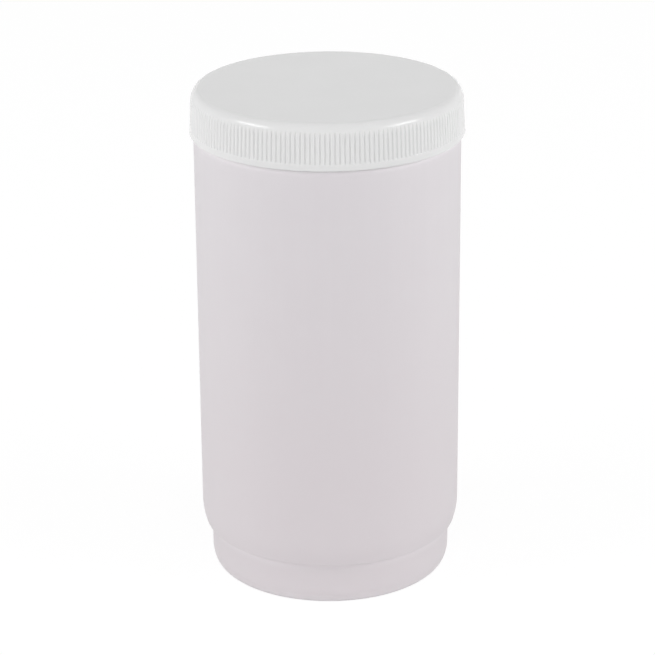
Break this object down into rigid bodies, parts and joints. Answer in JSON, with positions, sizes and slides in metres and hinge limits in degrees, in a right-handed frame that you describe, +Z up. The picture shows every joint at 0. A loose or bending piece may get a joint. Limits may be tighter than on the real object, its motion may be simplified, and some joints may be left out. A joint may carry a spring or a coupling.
{
  "type": "wide-mouth reagent bottle",
  "caption": "Straight-sided wide-mouth plastic reagent bottle with a recessed base ring, a screw neck, a ribbed screw cap and a foam sealing disc; the cap unscrews.",
  "frame": {"origin": "centre of the base, on the surface that the bottle stands on", "axes": "+Z up along the bottle's axis, towards the cap; X and Y are across the round body"},
  "size_m": [0.0922, 0.0922, 0.1713],
  "materials": {
    "bottle_body": "satin natural polyethylene, translucent",
    "screw_cap": "satin white polypropylene",
    "cap_liner": "matt white foamed polyethylene"
  },
  "bodies": {
    "bottle": {"bottle_body": "bottle_body"},
    "disc": {"cap_liner": "cap_liner"},
    "cap": {"screw_cap": "screw_cap"}
  },
  "joints": [
    {"name": "cap_rise", "type": "slide", "parent": "bottle", "child": "disc", "axis": [0, 0, 1], "range_m": [0, 0.02032]},
    {"name": "cap_turn", "type": "hinge", "parent": "disc", "child": "cap", "pos_m": [0, 0, 0.1682], "axis": [0, 0, 1], "range_deg": [0, 1440]}
  ],
  "couplings": [
    {"joint": "cap_rise", "follows": "cap_turn", "m_per_rad": 0.00080851}
  ]
}
